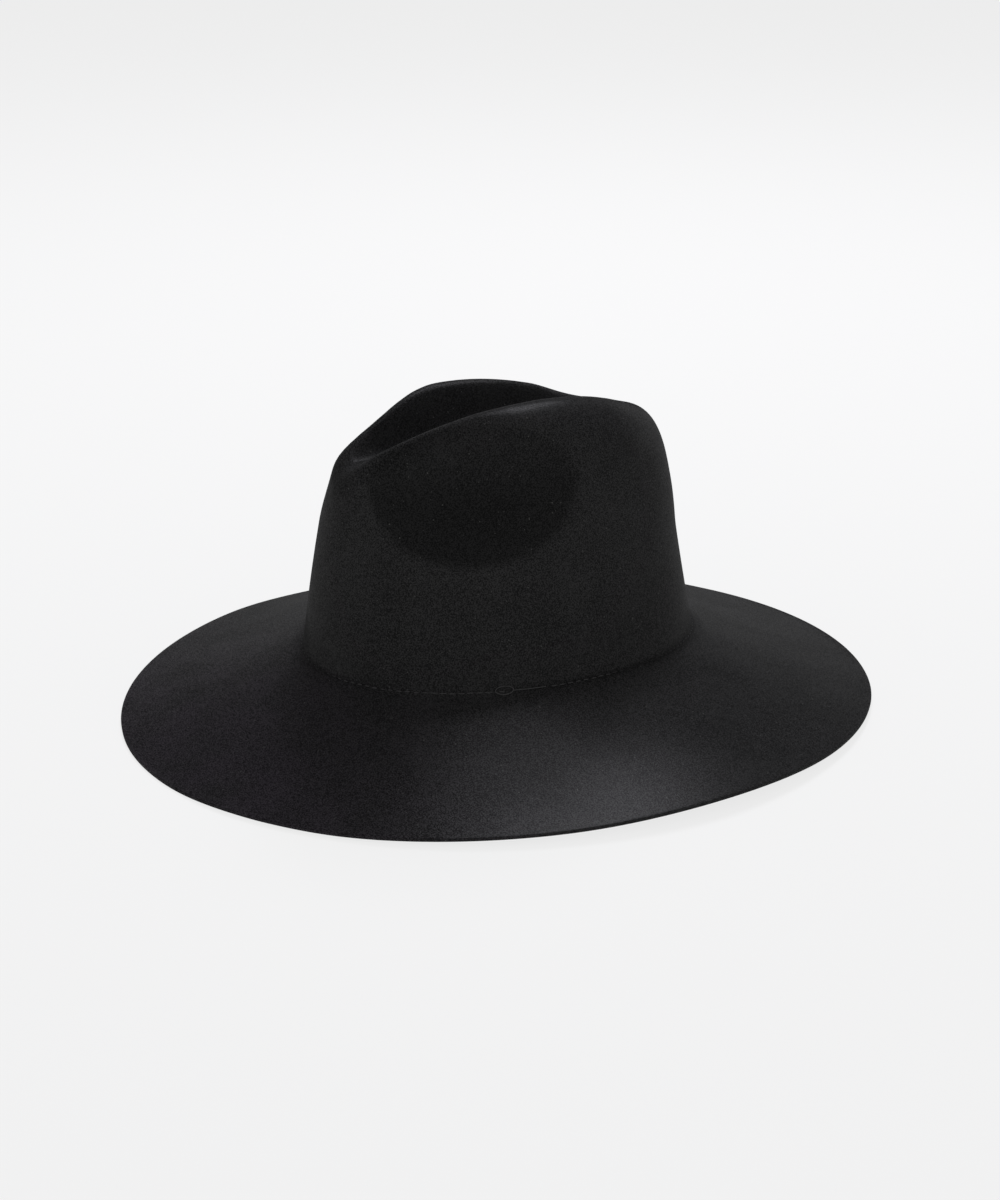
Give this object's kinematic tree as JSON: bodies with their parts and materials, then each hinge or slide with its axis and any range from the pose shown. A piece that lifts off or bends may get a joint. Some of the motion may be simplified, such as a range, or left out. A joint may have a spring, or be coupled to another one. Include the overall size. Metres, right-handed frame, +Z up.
{
  "type": "wide-brim fedora",
  "caption": "Black felt hat with a wide down-sloping raw-edged brim, a creased crown pinched at the front, and a sewn sweatband inside.",
  "frame": {"origin": "on the surface that the hat rests on, under the middle of the brim", "axes": "+X to the wearer's left, +Y to the back, +Z up; the front of the hat faces -Y"},
  "size_m": [0.3566, 0.3906, 0.1633],
  "materials": {
    "wool_felt": "matte black wool felt with a fine short nap",
    "band_cloth": "ribbed black grosgrain band"
  },
  "bodies": {
    "root": {"felt_body": "wool_felt", "sweatband": "band_cloth"}
  },
  "joints": []
}
